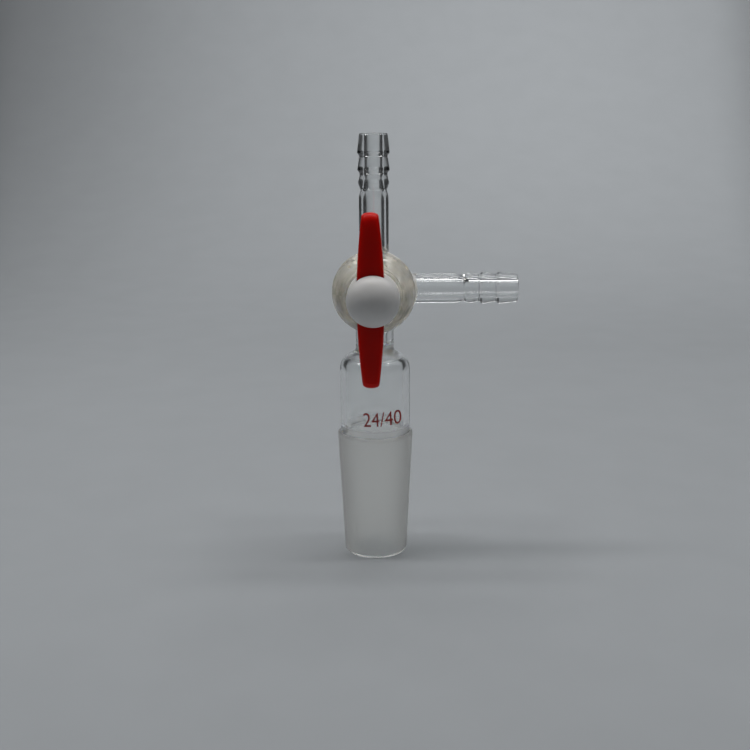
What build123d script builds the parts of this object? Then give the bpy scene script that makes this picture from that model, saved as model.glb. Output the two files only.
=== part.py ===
"""Three-way glass stopcock: a ground cone below, two hose connections and a turning taper plug."""

import os
from math import sqrt

from build123d import *

os.makedirs("parts", exist_ok=True)

# The foot of the ground cone is the origin. +Z runs up the main axis, +X along the side arm,
# and -Y towards the plug's head. All lengths are in millimetres.

# Ground cone, size 24/40
cone_large_dia = 24.0
cone_length = 40.0
cone_taper_share = 0.1
cone_wall = 2.2
rim_round = 0.6
crown_height = 1.0
crown_round = 0.7
crown_root_round = 0.8

# Body above the cone, its domed shoulder and the neck
body_dia = 22.2
body_wall = 2.0
body_length = 24.1
shoulder_rise = 2.8
shoulder_round = 4.8
neck_dia = 12.0
neck_bore = 7.2
neck_length = 19.9
neck_root_round = 2.0

# Barrel that holds the plug
barrel_front_length = 14.5
barrel_rear_length = 14.5
barrel_lip_dia = 17.8
barrel_lip_length = 0.9
barrel_lip_round = 0.7
barrel_belly_dia = 25.8
barrel_belly_setback = 6.8
barrel_middle_dia = 22.4
barrel_rear_dia = 17.2
barrel_rear_round = 1.5
barrel_mouth_round = 0.4
seal_round = 1.4
side_seal_round = 0.7

# Hose connections, the same on the top and on the side
top_arm_reach = 47.5
side_arm_reach = 44.6
hose_dia = 9.2
hose_bore = 5.1
hose_mouth_dia = 8.7
hose_mouth_bore = 4.35
hose_mouth_round = 0.6
hose_mouth_inner_round = 0.4
barb_dia = 9.9
barb_root_dia = 8.6
barb_lead = 5.6
barb_pitch = 5.15
barb_land = 0.3
barb_step = 0.9
barb_crest_round = 0.4
barb_root_round = 0.8
barb_run = 0.5
bulge_dia = 9.5
bulge_from_barb = 4.2
waist_dia = 8.2
waist_from_bulge = 1.9
flare_length = 3.2
bore_step_length = 1.5

# Taper plug with its T-shaped bore and domed head
plug_large_dia = 14.5
plug_taper_share = 0.2
plug_clearance = 0.05
plug_recess = 0.8
plug_bore = 4.0
head_gap = 1.0
head_dia = 16.0
head_collar_length = 5.8
head_dome_length = 6.1
dome_curve_share = 0.6
head_back_round = 0.6
stub_dia = 8.0
stub_show_length = 1.4
stub_end_round = 0.7
stub_flat_depth = 0.8

# Bar handle through the head
handle_length = 52.6
handle_width = 8.2
handle_tip_width = 4.9
handle_thickness = 5.2
handle_tip_crown = 0.6
handle_tip_round = 2.1
handle_edge_round = 1.0
handle_offset = 0.7
handle_slip = 0.45
slot_clearance = 0.05
slot_back_wall = 2.0

# Washer, rubber ring and nut that hold the plug in
washer_dia = 13.6
washer_thickness = 1.5
washer_round = 0.3
washer_clearance = 0.1
washer_seat_gap = 0.1
ring_section_dia = 2.4
ring_squeeze = 0.4
nut_dia = 15.0
nut_length = 7.0
nut_edge_round = 0.8
nut_clearance = 0.1
flute_count = 12
flute_dia = 3.0
flute_depth = 0.6

# Every cut runs this far past the face that it leaves by
overrun = 1.0

# Places that follow from the sizes
cone_small_dia = cone_large_dia - cone_taper_share * cone_length
shoulder_z = cone_length + body_length
neck_z = shoulder_z + shoulder_rise
plug_z = neck_z + neck_length
body_bore = body_dia - 2 * body_wall
shoulder_slope_share = shoulder_rise / ((body_dia - neck_dia) / 2)
shoulder_drop = body_wall * sqrt(1 + shoulder_slope_share**2)
head_back = -barrel_front_length - head_gap
dome_start = head_back - head_collar_length
slot_back = head_back - slot_back_wall
washer_front = barrel_rear_length + washer_seat_gap
ring_front = washer_front + washer_thickness
ring_length = ring_section_dia - ring_squeeze
nut_front = ring_front + ring_length
stub_end = nut_front + nut_length + stub_show_length
stub_start = barrel_rear_length - plug_recess

# The plug turns about this line, and its sections are drawn with the length along +Y
plug_axis = Axis((0, 0, plug_z), (0, 1, 0))
plug_section = Plane(origin=(0, 0, plug_z), x_dir=(0, 1, 0), z_dir=(1, 0, 0))


def across(station):
    """Plane square to the plug's axis, facing +Y, with its own y direction upwards."""
    return Plane(origin=(0, station, plug_z), x_dir=(-1, 0, 0), z_dir=(0, 1, 0))


def plug_radius(station):
    """Radius of the plug's taper at a place along +Y."""
    return (plug_large_dia - plug_taper_share * (station + barrel_front_length)) / 2


def hose_connection(reach):
    """Solid form of one hose connection, along +Z from the plug's axis to its mouth."""
    first_barb = reach - barb_lead
    second_barb = first_barb - barb_pitch
    bulge = second_barb - bulge_from_barb
    waist = bulge - waist_from_bulge
    tube_end = waist - flare_length
    last_root = second_barb - barb_land - barb_step
    with BuildPart() as arm:
        with BuildSketch(Plane.XZ):
            with BuildLine():
                Polyline((hose_dia / 2, tube_end), (hose_dia / 2, 0), (0, 0), (0, reach))
                FilletPolyline(
                    (0, reach),
                    (hose_mouth_dia / 2, reach),
                    (barb_dia / 2, first_barb),
                    (barb_dia / 2, first_barb - barb_land),
                    (barb_root_dia / 2, first_barb - barb_land - barb_step),
                    (barb_dia / 2, second_barb),
                    (barb_dia / 2, second_barb - barb_land),
                    (barb_root_dia / 2, last_root),
                    (barb_root_dia / 2, last_root - barb_run),
                    radius=(
                        hose_mouth_round,
                        0,
                        barb_crest_round,
                        barb_root_round,
                        0,
                        barb_crest_round,
                        barb_root_round,
                    ),
                )
                Spline(
                    (barb_root_dia / 2, last_root - barb_run),
                    (bulge_dia / 2, bulge),
                    (waist_dia / 2, waist),
                    (hose_dia / 2, tube_end),
                    tangents=((0, -1), (0, -1)),
                )
            make_face()
        revolve(axis=Axis.Z)
    return arm.part


def hose_hole(reach):
    """Bore of one hose connection, a little narrower inside the barbs."""
    step_end = reach - barb_lead - barb_pitch - bulge_from_barb
    with BuildPart() as hole:
        with BuildSketch(Plane.XZ):
            with BuildLine():
                Polyline(
                    (0, 0),
                    (hose_bore / 2, 0),
                    (hose_bore / 2, step_end - bore_step_length),
                    (hose_mouth_bore / 2, step_end),
                    (hose_mouth_bore / 2, reach + overrun),
                    (0, reach + overrun),
                    close=True,
                )
            make_face()
        revolve(axis=Axis.Z)
    return hole.part


# Where the two arms start, and how the side arm is turned
top_arm_place = Location((0, 0, plug_z))
side_arm_place = Location((0, 0, plug_z), (0, 90, 0))

# Glass body: barrel, neck, body, ground cone and both hose connections, fused into one piece
with BuildPart() as glass_body:
    with BuildSketch(plug_section):
        with BuildLine():
            FilletPolyline(
                (-barrel_front_length, 0),
                (-barrel_front_length, barrel_lip_dia / 2),
                (barrel_lip_length - barrel_front_length, barrel_lip_dia / 2),
                radius=barrel_lip_round,
            )
            Spline(
                (barrel_lip_length - barrel_front_length, barrel_lip_dia / 2),
                (barrel_belly_setback - barrel_front_length, barrel_belly_dia / 2),
                (0, barrel_middle_dia / 2),
                (barrel_rear_length, barrel_rear_dia / 2),
            )
            Polyline(
                (barrel_rear_length, barrel_rear_dia / 2),
                (barrel_rear_length, 0),
                (-barrel_front_length, 0),
            )
        make_face()
    revolve(axis=plug_axis)
    fillet(glass_body.edges().sort_by(Axis.Y)[-1], radius=barrel_rear_round)
    # Neck, shoulder, body and ground cone below the barrel
    with BuildSketch(Plane.XZ):
        with BuildLine():
            FilletPolyline(
                (0, 0),
                (cone_small_dia / 2, 0),
                (cone_large_dia / 2, cone_length),
                (body_dia / 2, cone_length + crown_height),
                (body_dia / 2, shoulder_z),
                (neck_dia / 2, neck_z),
                (neck_dia / 2, plug_z),
                (0, plug_z),
                radius=(
                    0,
                    rim_round,
                    crown_round,
                    crown_root_round,
                    shoulder_round,
                    neck_root_round,
                    0,
                    0,
                ),
                close=True,
            )
        make_face()
    revolve(axis=Axis.Z)
    fillet(glass_body.edges(Select.NEW), radius=seal_round)
    # The hose connections are sealed on with a smooth flow of glass
    with Locations(top_arm_place):
        add(hose_connection(top_arm_reach))
    fillet(glass_body.edges(Select.NEW), radius=seal_round)
    with Locations(side_arm_place):
        add(hose_connection(side_arm_reach))
    fillet(glass_body.edges(Select.NEW), radius=side_seal_round)
    # Hollow of the cone and body, narrowing into the neck
    with BuildSketch(Plane.XZ):
        with BuildLine():
            FilletPolyline(
                (0, -overrun),
                (cone_small_dia / 2 - cone_wall, -overrun),
                (cone_small_dia / 2 - cone_wall, 0),
                (cone_large_dia / 2 - cone_wall, cone_length),
                (body_bore / 2, cone_length + crown_height),
                (body_bore / 2, shoulder_z - shoulder_drop + shoulder_slope_share * body_wall),
                (
                    neck_bore / 2,
                    shoulder_z - shoulder_drop + shoulder_slope_share * (body_dia - neck_bore) / 2,
                ),
                (neck_bore / 2, plug_z),
                (0, plug_z),
                radius=(
                    0,
                    0,
                    0,
                    crown_root_round,
                    crown_root_round,
                    shoulder_round - body_wall,
                    neck_root_round,
                    0,
                    0,
                ),
                close=True,
            )
        make_face()
    revolve(axis=Axis.Z, mode=Mode.SUBTRACT)
    # Bores of the two hose connections
    with Locations(top_arm_place):
        add(hose_hole(top_arm_reach), mode=Mode.SUBTRACT)
    with Locations(side_arm_place):
        add(hose_hole(side_arm_reach), mode=Mode.SUBTRACT)
    # Ground taper that the plug turns in
    with BuildSketch(plug_section):
        with BuildLine():
            Polyline(
                (-barrel_front_length - overrun, 0),
                (
                    -barrel_front_length - overrun,
                    plug_radius(-barrel_front_length - overrun) + plug_clearance,
                ),
                (
                    barrel_rear_length + overrun,
                    plug_radius(barrel_rear_length + overrun) + plug_clearance,
                ),
                (barrel_rear_length + overrun, 0),
                close=True,
            )
        make_face()
    revolve(axis=plug_axis, mode=Mode.SUBTRACT)
    # Fire-polished inner edges
    circles = glass_body.edges().filter_by(GeomType.CIRCLE)
    fillet(circles.group_by(Axis.Z)[0].sort_by(SortBy.RADIUS)[0], radius=rim_round)
    circles = glass_body.edges().filter_by(GeomType.CIRCLE)
    mouths = [circles.group_by(side)[-1].sort_by(SortBy.RADIUS)[0] for side in (Axis.Z, Axis.X)]
    fillet(mouths, radius=hose_mouth_inner_round)
    circles = glass_body.edges().filter_by(GeomType.CIRCLE)
    ends = [circles.group_by(Axis.Y)[end].sort_by(SortBy.RADIUS)[0] for end in (0, -1)]
    fillet(ends, radius=barrel_mouth_round)

glass_body.part.label = "glass_body"
export_step(glass_body.part, "parts/glass_body.step")

# Plug: domed head, taper and the stub for the nut, turned from one rod
with BuildPart() as plug:
    with BuildSketch(plug_section):
        with BuildLine():
            Bezier(
                (dome_start, head_dia / 2),
                (dome_start - dome_curve_share * head_dome_length, head_dia / 2),
                (dome_start - head_dome_length, dome_curve_share * head_dia / 2),
                (dome_start - head_dome_length, 0),
            )
            FilletPolyline(
                (dome_start, head_dia / 2),
                (head_back, head_dia / 2),
                (head_back, plug_radius(head_back)),
                (stub_start, plug_radius(stub_start)),
                (stub_start, stub_dia / 2),
                (stub_end, stub_dia / 2),
                (stub_end, 0),
                radius=(head_back_round, 0, 0, 0, stub_end_round),
            )
            Line((stub_end, 0), (dome_start - head_dome_length, 0))
        make_face()
    revolve(axis=plug_axis)
    # Slot for the handle, right through the head
    with BuildSketch(Plane(origin=(-handle_offset, slot_back, plug_z), z_dir=(0, 0, 1))):
        Rectangle(
            handle_width + 2 * slot_clearance,
            handle_thickness + 2 * slot_clearance,
            align=(Align.CENTER, Align.MAX),
        )
    extrude(amount=head_dia, both=True, mode=Mode.SUBTRACT)
    # T-shaped bore: straight through along the handle, with a branch to the side arm
    with BuildSketch(Plane(origin=(0, 0, plug_z), z_dir=(0, 0, 1))):
        Circle(plug_bore / 2)
    extrude(amount=plug_large_dia, both=True, mode=Mode.SUBTRACT)
    with BuildSketch(Plane(origin=(0, 0, plug_z), z_dir=(1, 0, 0))):
        Circle(plug_bore / 2)
    extrude(amount=plug_large_dia, mode=Mode.SUBTRACT)
    # Flat along the stub, which keeps the washer from turning
    with BuildSketch(across(stub_start)):
        with BuildLine():
            Polyline(
                (-stub_dia / 2, stub_dia / 2 - stub_flat_depth),
                (stub_dia / 2, stub_dia / 2 - stub_flat_depth),
                (stub_dia / 2, stub_dia / 2),
                (-stub_dia / 2, stub_dia / 2),
                close=True,
            )
        make_face()
    extrude(amount=stub_end - stub_start, mode=Mode.SUBTRACT)

plug.part.label = "plug"
export_step(plug.part, "parts/plug.step")

# Handle: a moulded bar, widest in the head and bowed in to its tips
handle_face = Plane(
    origin=(-handle_offset, slot_back - slot_clearance, plug_z - handle_slip),
    x_dir=(1, 0, 0),
    z_dir=(0, -1, 0),
)
with BuildPart() as handle:
    with BuildSketch(handle_face):
        with BuildLine():
            for end in (1, -1):
                ThreePointArc(
                    (end * handle_tip_width / 2, -handle_length / 2 + handle_tip_crown),
                    (end * handle_width / 2, 0),
                    (end * handle_tip_width / 2, handle_length / 2 - handle_tip_crown),
                )
                ThreePointArc(
                    (-handle_tip_width / 2, end * (handle_length / 2 - handle_tip_crown)),
                    (0, end * handle_length / 2),
                    (handle_tip_width / 2, end * (handle_length / 2 - handle_tip_crown)),
                )
        make_face()
    extrude(amount=handle_thickness)
    # The tips are nearly half round from front to back, and the other edges are softened
    tips = [handle.faces().sort_by(Axis.Z)[end] for end in (0, -1)]
    fillet([tip.edges().sort_by(Axis.Y)[end] for tip in tips for end in (0, -1)], radius=handle_tip_round)
    fillet(handle.edges(), radius=handle_edge_round)

handle.part.label = "handle"
export_step(handle.part, "parts/handle.step")

# Washer with a flat in its hole, lying against the barrel's rear end
washer_hole_dia = stub_dia + 2 * washer_clearance
washer_flat = stub_dia / 2 - stub_flat_depth + washer_clearance
with BuildPart() as washer:
    with BuildSketch(across(washer_front)):
        Circle(washer_dia / 2)
    extrude(amount=washer_thickness)
    with BuildSketch(across(washer_front)):
        Circle(washer_hole_dia / 2)
        with BuildLine():
            Polyline(
                (-washer_hole_dia, washer_flat),
                (washer_hole_dia, washer_flat),
                (washer_hole_dia, washer_hole_dia),
                (-washer_hole_dia, washer_hole_dia),
                close=True,
            )
        make_face(mode=Mode.SUBTRACT)
    extrude(amount=washer_thickness, mode=Mode.SUBTRACT)
    outside = washer.edges().filter_by(GeomType.CIRCLE).group_by(SortBy.RADIUS)[-1]
    fillet(outside, radius=washer_round)

washer.part.label = "washer"
export_step(washer.part, "parts/washer.step")

# Rubber ring, squeezed flat on the two sides where the washer and the nut press on it
ring_inner = stub_dia / 2 + washer_clearance
with BuildPart() as rubber_ring:
    with BuildSketch(plug_section):
        with BuildLine():
            FilletPolyline(
                (ring_front, ring_inner),
                (ring_front, ring_inner + ring_section_dia),
                (ring_front + ring_length, ring_inner + ring_section_dia),
                (ring_front + ring_length, ring_inner),
                radius=(ring_length - ring_squeeze) / 2,
                close=True,
            )
        make_face()
    revolve(axis=plug_axis)

rubber_ring.part.label = "rubber_ring"
export_step(rubber_ring.part, "parts/rubber_ring.step")

# Nut with rounded ends and finger flutes round its rim
with BuildPart() as nut:
    with BuildSketch(plug_section):
        with BuildLine():
            FilletPolyline(
                (nut_front, stub_dia / 2 + nut_clearance),
                (nut_front, nut_dia / 2),
                (nut_front + nut_length, nut_dia / 2),
                (nut_front + nut_length, stub_dia / 2 + nut_clearance),
                radius=(0, nut_edge_round, nut_edge_round, 0),
                close=True,
            )
        make_face()
    revolve(axis=plug_axis)
    with BuildSketch(across(nut_front - overrun)):
        with PolarLocations(nut_dia / 2 + flute_dia / 2 - flute_depth, flute_count):
            Circle(flute_dia / 2)
    extrude(amount=nut_length + 2 * overrun, mode=Mode.SUBTRACT)

nut.part.label = "nut"
export_step(nut.part, "parts/nut.step")
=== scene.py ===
# %% [markdown]
# # A laboratory stopcock in glass
# A stopcock lets gas through, shuts it off or sends it round a corner. This one is a single piece of
# blown glass with a taper ground inside its barrel, and a white plug turns in that taper.
# The solids come from the CAD model, in metres and already in place. Blender gives them their finishes,
# their light and their camera, so the first step only loads them.

# %% Load the solids
import math

import bpy
from mathutils import Matrix, Vector


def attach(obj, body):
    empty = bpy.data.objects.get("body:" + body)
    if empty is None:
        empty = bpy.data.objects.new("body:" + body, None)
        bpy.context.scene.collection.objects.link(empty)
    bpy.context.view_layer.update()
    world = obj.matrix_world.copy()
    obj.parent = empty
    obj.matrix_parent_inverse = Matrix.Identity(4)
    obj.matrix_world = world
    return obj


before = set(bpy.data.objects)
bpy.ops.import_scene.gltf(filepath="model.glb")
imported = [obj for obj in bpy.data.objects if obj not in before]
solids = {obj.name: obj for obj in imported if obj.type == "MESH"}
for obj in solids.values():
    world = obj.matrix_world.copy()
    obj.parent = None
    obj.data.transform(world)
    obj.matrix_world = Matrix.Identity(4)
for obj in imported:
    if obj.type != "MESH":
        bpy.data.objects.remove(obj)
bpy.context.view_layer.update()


print("solids:", sorted(solids))

# %% [markdown]
# ## The camera
# The stopcock stands upright and the camera looks a little down on it, with the plug's head towards us.
# A camera could be aimed by eye, but here its place, tilt and lens were worked out from sizes that the
# picture shows: the ends of the ground cone, the two hose connections and the plug's axis.
# Its turn is three plain turns, one after the other: roll about the line of sight, tilt and yaw.

# %% Camera
picture_side = 750
focal_pixels = 1142
sensor_width = 36
nearest_seen = 0.01
camera_place = (0.0074, -0.3522, 0.1508)
yaw_degrees = 1.2
look_down_degrees = 14.65
roll_degrees = -0.4

yaw = Matrix.Rotation(math.radians(yaw_degrees), 4, "Z")
tilt = Matrix.Rotation(math.radians(90 - look_down_degrees), 4, "X")
roll = Matrix.Rotation(math.radians(roll_degrees), 4, "Z")

bpy.ops.object.select_all(action="DESELECT")
bpy.ops.object.camera_add(location=camera_place, rotation=(yaw @ tilt @ roll).to_euler())
camera = bpy.context.object
camera.data.sensor_width = sensor_width
camera.data.lens = sensor_width * focal_pixels / picture_side
camera.data.clip_start = nearest_seen
bpy.context.scene.camera = camera
bpy.context.scene.view_settings.view_transform = "Standard"
print("lens in mm:", round(camera.data.lens, 1))

# %% [markdown]
# ## Small helpers for finishes
# Every finish below is a node tree. Writing each node out in full takes many lines, so one class does the
# repeated part: it starts a material and adds sums, soft steps, noises, mixes of two colours and bumps.
# A pattern reads the Object coordinates. The pieces sit at the origin, so those are metres in the CAD frame.

# %% Helpers
class Finish:
    """A material in the making, with its node tree, its shader and the point being shaded."""

    def __init__(self, name):
        self.material = bpy.data.materials.new(name)
        self.material.use_nodes = True
        self.tree = self.material.node_tree
        self.shader = self.tree.nodes["Principled BSDF"]
        self.place = self.tree.nodes.new("ShaderNodeTexCoord").outputs["Object"]
        axes = self.tree.nodes.new("ShaderNodeSeparateXYZ")
        self.feed(axes.inputs[0], self.place)
        self.x, self.y, self.z = axes.outputs

    def feed(self, socket, value):
        """A number is written on the socket, and another socket is linked to it."""
        if isinstance(value, bpy.types.NodeSocket):
            self.tree.links.new(value, socket)
        else:
            socket.default_value = value

    def put(self, settings):
        """Feeds the shader's sockets by name."""
        for name, value in settings.items():
            self.feed(self.shader.inputs[name], value)

    def calculate(self, operation, *values):
        """One step of arithmetic with numbers or sockets."""
        step = self.tree.nodes.new("ShaderNodeMath")
        step.operation = operation
        for socket, value in zip(step.inputs, values):
            self.feed(socket, value)
        return step.outputs[0]

    def product(self, first, *others):
        for other in others:
            first = self.calculate("MULTIPLY", first, other)
        return first

    def largest(self, first, *others):
        for other in others:
            first = self.calculate("MAXIMUM", first, other)
        return first

    def distance(self, across, up):
        """How far a point is from an axis, by its two distances at right angles to it."""
        squares = self.calculate("ADD", self.product(across, across), self.product(up, up))
        return self.calculate("SQRT", squares)

    def soft_step(self, value, start, end, low=0.0, high=1.0):
        """Goes smoothly from low to high while value goes from start to end."""
        step = self.tree.nodes.new("ShaderNodeMapRange")
        step.interpolation_type = "SMOOTHSTEP"
        self.feed(step.inputs["Value"], value)
        ends = {"From Min": start, "From Max": end, "To Min": low, "To Max": high}
        for name, number in ends.items():
            step.inputs[name].default_value = number
        return step.outputs[0]

    def near(self, value, middle, core, reach, high=1.0):
        """Is high within core of the middle, and falls smoothly to 0 at reach from it."""
        away = self.calculate("ABSOLUTE", self.calculate("SUBTRACT", value, middle))
        return self.soft_step(away, reach, core, 0.0, high)

    def noise(self, scale, detail, stretch=(1, 1, 1), place=None):
        """Soft random values from 0 to 1. A larger scale is finer, and stretch packs it along an axis."""
        packed = self.tree.nodes.new("ShaderNodeMapping")
        packed.inputs["Scale"].default_value = stretch
        self.feed(packed.inputs["Vector"], self.place if place is None else place)
        grain = self.tree.nodes.new("ShaderNodeTexNoise")
        grain.inputs["Scale"].default_value = scale
        grain.inputs["Detail"].default_value = detail
        self.feed(grain.inputs["Vector"], packed.outputs[0])
        return grain.outputs[0]

    def two_numbers(self, share, first, second):
        """The first number where share is 0, the second where it is 1, and a mix between."""
        mix = self.tree.nodes.new("ShaderNodeMix")
        for socket, value in zip((mix.inputs[0], mix.inputs[2], mix.inputs[3]), (share, first, second)):
            self.feed(socket, value)
        return mix.outputs[0]

    def two_colours(self, share, first, second):
        """The same for two colours. A plain colour is made fully opaque."""
        mix = self.tree.nodes.new("ShaderNodeMix")
        mix.data_type = "RGBA"
        self.feed(mix.inputs[0], share)
        for socket, colour in ((mix.inputs[6], first), (mix.inputs[7], second)):
            self.feed(socket, colour if isinstance(colour, bpy.types.NodeSocket) else (*colour, 1))
        return mix.outputs[2]

    def coats(self, colour, *layers):
        """A colour with layers over it, each a share and a colour of its own."""
        for share, layer in layers:
            colour = self.two_colours(share, colour, layer)
        return colour

    def relief(self, height, depth, under=None):
        """A bump whose height of 1 is depth metres."""
        bump = self.tree.nodes.new("ShaderNodeBump")
        bump.inputs["Distance"].default_value = depth
        self.feed(bump.inputs["Height"], height)
        if under is not None:
            self.feed(bump.inputs["Normal"], under)
        return bump.outputs[0]


print("helpers ready:", [name for name in vars(Finish) if not name.startswith("_")])

# %% [markdown]
# ## Glass: where it is ground
# The body is clear borosilicate glass. Two of its surfaces are ground matt with fine grit, so that they
# seal: the outside of the cone below, and the taper inside the barrel. A ground surface scatters light, so
# it looks white and hides what is behind it.
# Two materials could be painted on two sets of faces. Here one material finds the ground places by itself,
# by distance from the main axis and from the plug's axis. Each place is a share that goes from 0 to 1. The
# first sizes repeat those of the solids, and the others say how far a finish reaches and how softly it ends.

# %% Ground places
axis_z = 0.0868
cone_length = 0.040
cone_foot_radius = 0.010
cone_slope = 0.05
barrel_half_length = 0.0145
taper_middle_radius = 0.0058
taper_slope = 0.1

ground_skin = 0.0009
polished_rim = 0.0005
grinding_top = cone_length + 0.0004
crown_blend = 0.0008
end_margin = 0.0001
round_margin = 0.0002
blend = 0.0003

glass = Finish("clear_glass")
from_main_axis = glass.distance(glass.x, glass.y)
cone_radius = glass.calculate("MULTIPLY_ADD", glass.z, cone_slope, cone_foot_radius)
depth_in_cone = glass.calculate("SUBTRACT", cone_radius, from_main_axis)
outer_skin = glass.soft_step(depth_in_cone, ground_skin + blend, ground_skin)
above_rim = glass.soft_step(glass.z, polished_rim, polished_rim + blend)
below_crown = glass.soft_step(glass.z, grinding_top + crown_blend, grinding_top)
ground_cone = glass.product(outer_skin, above_rim, below_crown)

above_plug_axis = glass.calculate("SUBTRACT", glass.z, axis_z)
from_plug_axis = glass.distance(glass.x, above_plug_axis)
taper_radius = glass.calculate("MULTIPLY_ADD", glass.y, -taper_slope, taper_middle_radius)
outside_taper = glass.calculate("SUBTRACT", from_plug_axis, taper_radius)
on_taper = glass.soft_step(outside_taper, 2 * round_margin, round_margin)
ground_end = barrel_half_length - end_margin
in_barrel = glass.near(glass.y, middle=0.0, core=ground_end - blend, reach=ground_end)
ground_taper = glass.product(on_taper, in_barrel)
ground = glass.largest(ground_cone, ground_taper)
print("glass nodes for the ground places:", len(glass.tree.nodes))

# %% [markdown]
# ## Glass: the barrel's skin
# The thick barrel is creamier than the thin tubes, and streaks in its skin run round the plug's axis. A noise
# in plain x, y and z would give round blotches. Here it is read by distance from the axis, by the angle round
# it and by the place along it. The angle counts little, so each blotch is drawn out into a streak.

# %% Barrel skin
belly_radius = 0.0129
metres_per_radian = 0.004

skin_radius = belly_radius + round_margin
skin_end = barrel_half_length + end_margin
within_belly = glass.soft_step(from_plug_axis, skin_radius + blend, skin_radius)
within_ends = glass.near(glass.y, middle=0.0, core=skin_end, reach=skin_end + blend)
barrel_skin = glass.product(within_belly, within_ends)

plug_angle = glass.calculate("ARCTAN2", above_plug_axis, glass.x)
round_plug = glass.tree.nodes.new("ShaderNodeCombineXYZ")
round_place = (from_plug_axis, glass.product(plug_angle, metres_per_radian), glass.y)
for socket, value in zip(round_plug.inputs, round_place):
    glass.feed(socket, value)
mottle = glass.noise(scale=700, detail=4, place=round_plug.outputs[0])
print("glass nodes with the barrel's skin:", len(glass.tree.nodes))

# %% [markdown]
# ## Glass: gloss and tint
# Clear glass is smooth, with faint smears from handling. The barrel's streaks dull it a little more, and the
# ground places are matt, each grain of grit by another amount. The tint goes on in coats, like the gloss: the
# ground and the thick places are creamier than the thin clear walls.

# %% Gloss and tint
clear_tint = (0.985, 0.993, 0.991)
ground_tint = (0.95, 0.935, 0.90)
barrel_tint = (0.98, 0.955, 0.88)
taper_tint = (0.92, 0.88, 0.77)

smears = glass.noise(scale=90, detail=3)
grit = glass.noise(scale=2600, detail=3, stretch=(1, 1, 2.5))
smeared = glass.soft_step(smears, start=0.45, end=0.8, low=0.0, high=0.03)
streaked = glass.soft_step(mottle, start=0.3, end=0.7, low=0.0, high=0.04)
matt = glass.soft_step(grit, start=0.2, end=0.8, low=0.40, high=0.56)
smooth = glass.largest(smeared, glass.product(barrel_skin, streaked))
tint_coats = ((ground_cone, ground_tint), (barrel_skin, barrel_tint), (ground_taper, taper_tint))
glass.put({
    "Roughness": glass.two_numbers(ground, smooth, matt),
    "Base Color": glass.coats(clear_tint, *tint_coats),
    "IOR": 1.473,
})
print("glass tints:", clear_tint, "to", taper_tint)

# %% [markdown]
# ## Glass: milky places
# Glass that was melted and worked is seldom quite clear. The barrel's skin, the crown above the cone and the
# seal under the neck are faintly milky, and so is the ground taper. Less light goes straight through such a
# place, and what is missing spreads inside the glass. Both come from one share, so the two always match.

# %% Milky places
crown_z = 0.0413
neck_root_z = 0.0672
neck_seal_radius = 0.0085
shoulder_radius = 0.0108
milky_below_z = axis_z - 0.004
clearer_above_z = axis_z + 0.011
taper_milk = 0.4

streak_milk = glass.soft_step(mottle, start=0.35, end=0.65, low=0.18, high=0.32)
clearer_top = glass.soft_step(glass.z, milky_below_z, clearer_above_z, low=1.15, high=0.55)
milky_skin = glass.product(barrel_skin, streak_milk, clearer_top)
milky_crown = glass.near(glass.z, crown_z, core=0.0011, reach=0.0024, high=0.18)
by_neck = glass.soft_step(from_main_axis, shoulder_radius, neck_seal_radius)
milky_root = glass.near(glass.z, neck_root_z, core=0.0008, reach=0.0032, high=0.28)
milky_seal = glass.product(by_neck, milky_root)
milky_taper = glass.product(ground_taper, taper_milk)
milky = glass.largest(milky_skin, milky_crown, milky_seal, milky_taper)
glass.put({
    "Transmission Weight": glass.calculate("SUBTRACT", 1.0, milky),
    "Subsurface Weight": 1.0,
    "Subsurface Radius": (1.0, 0.95, 0.8),
    "Subsurface Scale": 0.025,
})
print("glass nodes with the milky places:", len(glass.tree.nodes))

# %% [markdown]
# ## Glass: relief, and the lamps' view of it
# Blown glass is never quite even, so a slow wave bends what is seen through it. Streaks and grit stand a
# little proud as well.
# Light reaches the inside of glass only by paths that the renderer rarely finds. For a lamp's own rays the
# glass is therefore see-through and a little grey, which keeps the plug inside lit and the shadow pale.

# %% Glass relief and lamp rays
wave_height = 0.000004
streak_height = 0.000025
grit_height = 0.00002
clear_shade = (0.72, 0.73, 0.73)
ground_shade = (0.34, 0.34, 0.34)
barrel_shade = (0.6, 0.6, 0.59)
taper_shade = (0.95, 0.94, 0.90)

waves = glass.relief(glass.noise(scale=110, detail=1), wave_height)
streaks = glass.relief(glass.product(mottle, barrel_skin), streak_height, waves)
glass.put({"Normal": glass.relief(glass.product(grit, ground), grit_height, streaks)})

rays = glass.tree.nodes.new("ShaderNodeLightPath")
see_through = glass.tree.nodes.new("ShaderNodeBsdfTransparent")
for_lamps = glass.tree.nodes.new("ShaderNodeMixShader")
shade_coats = ((ground_cone, ground_shade), (barrel_skin, barrel_shade), (ground_taper, taper_shade))
glass.feed(see_through.inputs["Color"], glass.coats(clear_shade, *shade_coats))
lamp_mix = (rays.outputs["Is Shadow Ray"], glass.shader.outputs[0], see_through.outputs[0])
for socket, value in zip(for_lamps.inputs, lamp_mix):
    glass.feed(socket, value)
glass.feed(glass.tree.nodes["Material Output"].inputs["Surface"], for_lamps.outputs[0])
print("glass nodes in all:", len(glass.tree.nodes))

# %% [markdown]
# ## White plug
# The plug and its washer are PTFE, a waxy white plastic that needs no grease. It is turned on a lathe, so
# fine rings run round its axis, and light goes a little way into it, which softens its shading.
# The rings follow the distance from the axis on the domed head and the place along the axis on the taper.
# Their difference counts the turns on both, so one wave serves the whole plug. Behind the barrel the stub
# carries a thread for the nut, and there the wave is coarse and winds along the stub with the angle round it.

# %% White plug finish
ring_pitch = 0.00022
ring_height = 0.0000015
thread_pitch = 0.0015
thread_height = 0.00022
stub_blend = 0.0002
full_turn = 2 * math.pi

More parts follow.
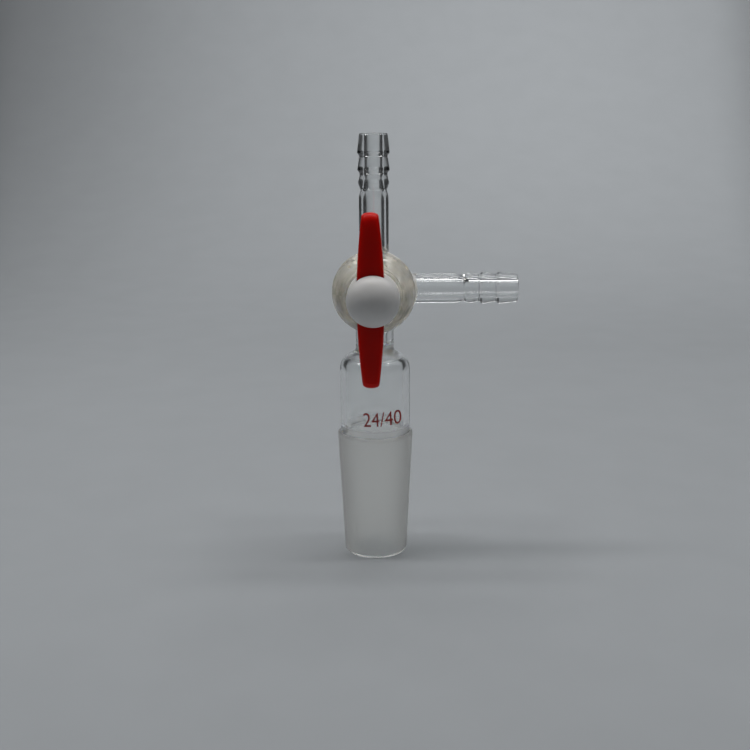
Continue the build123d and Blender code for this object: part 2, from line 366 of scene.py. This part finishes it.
plug_white = Finish("white_plastic")
across = plug_white.calculate("SUBTRACT", plug_white.z, axis_z)
along_cut = plug_white.calculate("SUBTRACT", plug_white.distance(plug_white.x, across), plug_white.y)
rings = plug_white.calculate("SINE", plug_white.product(along_cut, full_turn / ring_pitch))
angle = plug_white.calculate("ARCTAN2", across, plug_white.x)
turns = plug_white.calculate("ADD", plug_white.product(plug_white.y, full_turn / thread_pitch), angle)
on_stub = plug_white.soft_step(plug_white.y, barrel_half_length, barrel_half_length + stub_blend)
thread = plug_white.product(plug_white.calculate("SINE", turns), on_stub)
wax = plug_white.noise(scale=260, detail=3)
plug_white.put({
    "Base Color": plug_white.two_colours(wax, (0.82, 0.81, 0.795), (0.88, 0.87, 0.855)),
    "Roughness": plug_white.soft_step(wax, start=0.2, end=0.8, low=0.34, high=0.46),
    "IOR": 1.38,
    "Subsurface Weight": 0.2,
    "Subsurface Radius": (1.0, 0.95, 0.85),
    "Subsurface Scale": 0.0012,
    "Normal": plug_white.relief(thread, thread_height, plug_white.relief(rings, ring_height)),
})
print("thread pitch in mm:", 1000 * thread_pitch)

# %% [markdown]
# ## Red handle
# The handle is a plain bar of moulded red plastic. A mould leaves a fine even grain and small differences of
# gloss. Two noises give that: a coarse one moves the colour and gloss a little, and a fine one is the grain.
# Red light goes some way into such plastic, so the upper end glows where the overhead lamp strikes it.

# %% Red handle finish
mould_grain_height = 0.000012

handle_red = Finish("red_plastic")
clouds = handle_red.noise(scale=140, detail=3)
grain = handle_red.noise(scale=3200, detail=2)
handle_red.put({
    "Base Color": handle_red.two_colours(clouds, (0.47, 0.004, 0.001), (0.55, 0.007, 0.002)),
    "Roughness": handle_red.soft_step(clouds, start=0.25, end=0.75, low=0.34, high=0.46),
    "Specular IOR Level": 0.15,
    "Subsurface Weight": 1.0,
    "Subsurface Radius": (1.0, 0.35, 0.3),
    "Subsurface Scale": 0.010,
    "Normal": handle_red.relief(grain, mould_grain_height),
})
print("handle nodes:", len(handle_red.tree.nodes))

# %% [markdown]
# ## Rubber ring
# Behind the barrel a black rubber ring is squeezed between the washer and the nut, and so it pulls the plug
# gently into its taper. Rubber is dull and slightly dusty. Plain black would do from afar, but a noise that
# lays a little grey on it shows from close by.

# %% Rubber finish
dust_height = 0.00003

ring_rubber = Finish("black_rubber")
dust = ring_rubber.noise(scale=700, detail=4)
dusty = ring_rubber.soft_step(dust, start=0.45, end=0.75)
ring_rubber.put({
    "Base Color": ring_rubber.two_colours(dusty, (0.018, 0.018, 0.019), (0.045, 0.044, 0.043)),
    "Roughness": ring_rubber.soft_step(dust, start=0.3, end=0.7, low=0.48, high=0.66),
    "Normal": ring_rubber.relief(dust, dust_height),
})
print("rubber nodes:", len(ring_rubber.tree.nodes))

# %% [markdown]
# ## Nut
# The round nut is moulded from white nylon, which is creamier than the plug's white. Moulding leaves faint
# clouds where the plastic flowed. A noise drawn out along the plug's axis gives those, and a fine one is the
# grain of the mould.

# %% Nut finish
nut_grain_height = 0.00001

nut_white = Finish("nut_plastic")
flow = nut_white.noise(scale=180, detail=3, stretch=(1, 0.5, 1))
nut_white.put({
    "Base Color": nut_white.two_colours(flow, (0.80, 0.79, 0.74), (0.86, 0.85, 0.80)),
    "Roughness": nut_white.soft_step(flow, start=0.25, end=0.75, low=0.36, high=0.5),
    "Subsurface Weight": 0.15,
    "Subsurface Radius": (1.0, 0.9, 0.75),
    "Subsurface Scale": 0.0008,
    "Normal": nut_white.relief(nut_white.noise(scale=2400, detail=2), nut_grain_height),
})
print("nut nodes:", len(nut_white.tree.nodes))

# %% [markdown]
# ## Dressing the solids
# Each solid could be remodelled, but its shape is already right. It keeps its own mesh and place, and only
# its material slot changes.

# %% Put the finishes on the solids
def dress(piece, finish):
    """Gives a piece one finish in place of what it had."""
    piece.data.materials.clear()
    piece.data.materials.append(finish.material)
    print(piece.name, "wears", finish.material.name)


finish_of = {
    "glass_body": glass,
    "plug": plug_white,
    "washer": plug_white,
    "handle": handle_red,
    "rubber_ring": ring_rubber,
    "nut": nut_white,
}
for name, finish in finish_of.items():
    dress(solids[name], finish)

# %% [markdown]
# ## The size mark
# Ground joints carry their size in fired red enamel: the large diameter and the length in millimetres. It is
# printed on the clear body just above the cone.
# Numbers could be painted in the glass material, but a thin layer of its own stays crisp from close by. They
# start as a text object and become a mesh. The mesh is cleaned of slivers and then cut into upright strips,
# so that it can bend round the body.

# %% Size mark, flat
mark_height = 0.0047
figure_height_share = 0.72
mark_middle = Vector((0.00245, 0, 0.0469))
mark_slant = math.radians(2.2)
mark_narrowing = 0.82
in_front_by = Vector((0, 0.02, 0))
outline_steps = 6
strips_each_side = 20
strip_width = 0.0004
merge_distance = 0.000002
flat_angle = math.radians(0.5)

bpy.ops.object.select_all(action="DESELECT")
bpy.ops.object.text_add()
mark = bpy.context.object
mark.name = "size_mark"
mark.data.body = "24/40"
mark.data.align_x = "CENTER"
mark.data.align_y = "CENTER"
mark.data.size = mark_height / figure_height_share
mark.data.resolution_u = outline_steps
bpy.ops.object.convert(target="MESH")
mark.scale.x = mark_narrowing
mark.rotation_euler = (math.radians(90), -mark_slant, 0)
mark.location = mark_middle - in_front_by
bpy.ops.object.transform_apply(location=True, rotation=True, scale=True)

bpy.ops.object.mode_set(mode="EDIT")
bpy.ops.mesh.select_all(action="SELECT")
bpy.ops.mesh.remove_doubles(threshold=merge_distance)
bpy.ops.mesh.dissolve_limited(angle_limit=flat_angle)
for strip in range(-strips_each_side, strips_each_side + 1):
    bpy.ops.mesh.select_all(action="SELECT")
    bpy.ops.mesh.bisect(plane_co=(mark_middle.x + strip * strip_width, 0, 0), plane_no=(1, 0, 0))
bpy.ops.mesh.select_all(action="SELECT")
bpy.ops.mesh.remove_doubles(threshold=merge_distance)
bpy.ops.mesh.dissolve_degenerate(threshold=merge_distance)
bpy.ops.object.mode_set(mode="OBJECT")
print("flat mark faces:", len(mark.data.polygons))

# %% [markdown]
# ## The mark goes round the body
# The strips could be bent by a formula, but the body is there to be measured. A shrinkwrap moves every point
# straight back until it lies just above the glass, and a little thickness makes it a layer of enamel. Fired
# enamel has thin and thick spots, so its red and its gloss vary a little.

# %% Size mark, wrapped and dressed
enamel_above_glass = 0.00002
enamel_thickness = 0.00003

wrap = mark.modifiers.new("wrap", "SHRINKWRAP")
wrap.target = solids["glass_body"]
wrap.wrap_method = "PROJECT"
wrap.use_project_y = True
wrap.use_negative_direction = False
wrap.use_positive_direction = True
wrap.wrap_mode = "ABOVE_SURFACE"
wrap.offset = enamel_above_glass
bpy.ops.object.modifier_apply(modifier=wrap.name)
layer = mark.modifiers.new("layer", "SOLIDIFY")
layer.thickness = enamel_thickness
bpy.ops.object.modifier_apply(modifier=layer.name)
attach(mark, "glass")

enamel = Finish("red_enamel")
thin_spots = enamel.noise(scale=1500, detail=3)
enamel.put({
    "Base Color": enamel.two_colours(thin_spots, (0.38, 0.012, 0.009), (0.52, 0.032, 0.025)),
    "Roughness": enamel.soft_step(thin_spots, start=0.3, end=0.7, low=0.35, high=0.5),
})
dress(mark, enamel)
mark_front = min(point.co.y for point in mark.data.vertices)
print("mark faces:", len(mark.data.polygons), "front in mm:", round(1000 * mark_front, 2))

# %% [markdown]
# ## Floor and backdrop
# Glass is all reflection and refraction, so what stands round it matters as much as the glass. A studio uses
# a sweep: a grey sheet that lies flat under the object and curves up behind it, with no corner to see.
# It starts as a plane. Its rear edge is pulled up into a wall, and a wide bevel rounds the fold.

# %% Sweep
sheet_size = 3.0
sheet_middle = (0, -0.4, 0)
wall_height = 2.0
fold_reach = 0.7
fold_steps = 32
edge_tolerance = 0.001


def pick_edges(piece, wanted):
    """Selects only the edges whose two ends are wanted, and leaves the piece in edit mode."""
    bpy.ops.object.mode_set(mode="EDIT")
    bpy.ops.mesh.select_mode(type="EDGE")
    bpy.ops.mesh.select_all(action="DESELECT")
    bpy.ops.object.mode_set(mode="OBJECT")
    points = piece.data.vertices
    for edge in piece.data.edges:
        edge.select = all(wanted(points[end].co) for end in edge.vertices)
    bpy.ops.object.mode_set(mode="EDIT")


bpy.ops.object.select_all(action="DESELECT")
bpy.ops.mesh.primitive_plane_add(size=sheet_size, location=sheet_middle)
sweep = bpy.context.object
sweep.name = "sweep"
bpy.ops.object.transform_apply(location=True)
back_line = max(point.co.y for point in sweep.data.vertices) - edge_tolerance
pick_edges(sweep, lambda place: place.y > back_line)
bpy.ops.mesh.extrude_edges_move(TRANSFORM_OT_translate={"value": (0, 0, wall_height)})
pick_edges(sweep, lambda place: place.y > back_line and place.z < edge_tolerance)
bpy.ops.mesh.bevel(offset=fold_reach, segments=fold_steps, affect="EDGES")
bpy.ops.mesh.select_all(action="SELECT")
bpy.ops.mesh.normals_make_consistent(inside=False)
bpy.ops.object.mode_set(mode="OBJECT")
bpy.ops.object.shade_smooth()
print("sweep faces:", len(sweep.data.polygons))

# %% [markdown]
# ## Paper
# The paper itself is a pale grey. Painted shade darkens it far out at its sides and in front, so the object
# stands in a painted pool of light.
# The dark sides stand in for a dim room there, because the edges of a glass tube bend the view sideways and
# show what is there as dark lines. One share for each side says how pale the paper is, and their product is
# the painted pool of light. The pool grows wider before and behind the object.

# %% Paper finish
# The dark grey is painted shade, where the paper stands in for a dim room far from the lamps. The pale grey
# is the paper's own colour.
painted_shade_paper = (0.065, 0.067, 0.069)
pale_paper = (0.395, 0.415, 0.433)
left_spread = 0.25
right_spread = 0.17

paper = Finish("grey_paper")
depth = paper.calculate("ABSOLUTE", paper.y)
from_left = paper.calculate("MULTIPLY_ADD", depth, left_spread, paper.x)
from_right = paper.calculate("MULTIPLY_ADD", depth, -right_spread, paper.x)
far_left = paper.soft_step(paper.x, start=-0.75, end=-0.1)
up_the_wall = paper.soft_step(paper.z, start=0.26, end=0.5)
# Painted light: these shares make a pool of light on the paper, pale round the object and shading off to the
# dark grey far to the sides and in front.
painted_light_pool = (
    paper.soft_step(from_left, start=-0.30, end=-0.16),
    paper.soft_step(from_right, start=0.32, end=0.17),
    paper.largest(far_left, up_the_wall),
    paper.soft_step(paper.y, start=-0.9, end=-0.05),
)
fibres = paper.soft_step(paper.noise(scale=40, detail=4), start=0.2, end=0.8, low=0.96, high=1.0)
paper.put({
    "Base Color": paper.two_colours(paper.product(fibres, *painted_light_pool), painted_shade_paper, pale_paper),
    "Roughness": 0.9,
    "Specular IOR Level": 0.2,
})
dress(sweep, paper)

# %% [markdown]
# ## Light
# A long soft lamp hangs overhead. It makes the bright line along the side arm, the pale top of the dome and
# the small soft shadow at the foot. A weaker one shines from the rear through the ground cone.
# Two more shine only on the sheet, one on its curve and one on the wall above, because clear glass shows what
# stands behind it. A faint one in front lifts the plug's head. The room stays dim, so the vertical tube keeps
# the dark lines inside its edges that make glass look like glass.

# %% Lamps
room_grey = (0.035, 0.036, 0.037, 1)


def soft_lamp(name, place, target, size, power):
    """A flat rectangular lamp at place that faces target."""
    aim = (Vector(target) - Vector(place)).to_track_quat("-Z", "Y").to_euler()
    bpy.ops.object.select_all(action="DESELECT")
    bpy.ops.object.light_add(type="AREA", location=place, rotation=aim)
    lamp = bpy.context.object
    lamp.name = name
    lamp.data.shape = "RECTANGLE"
    lamp.data.size, lamp.data.size_y = size
    lamp.data.energy = power
    print(name, "power in W:", power)


soft_lamp("overhead_lamp", place=(-0.07, 0.02, 1.05), target=(-0.07, 0.02, 0), size=(1.4, 0.12), power=7.4)
soft_lamp("rear_lamp", place=(0.0, 0.45, 1.0), target=(0, 0, 0.08), size=(1.0, 0.15), power=2.3)
soft_lamp("backdrop_lamp", place=(0.2, 0.5, 0.55), target=(0.2, 1.0, 0.36), size=(0.3, 0.3), power=1.1)
soft_lamp("wall_lamp", place=(0.0, 0.5, 1.0), target=(0.0, 1.1, 0.9), size=(1.2, 0.2), power=1.8)
soft_lamp("front_fill", place=(0.0, -1.1, 0.5), target=(0, 0, 0.08), size=(1.2, 0.8), power=0.24)

room = bpy.data.worlds.new("dim_room")
bpy.context.scene.world = room
room.use_nodes = True
room_light = room.node_tree.nodes["Background"]
room_light.inputs["Color"].default_value = room_grey
room_light.inputs["Strength"].default_value = 1.0

# %% [markdown]
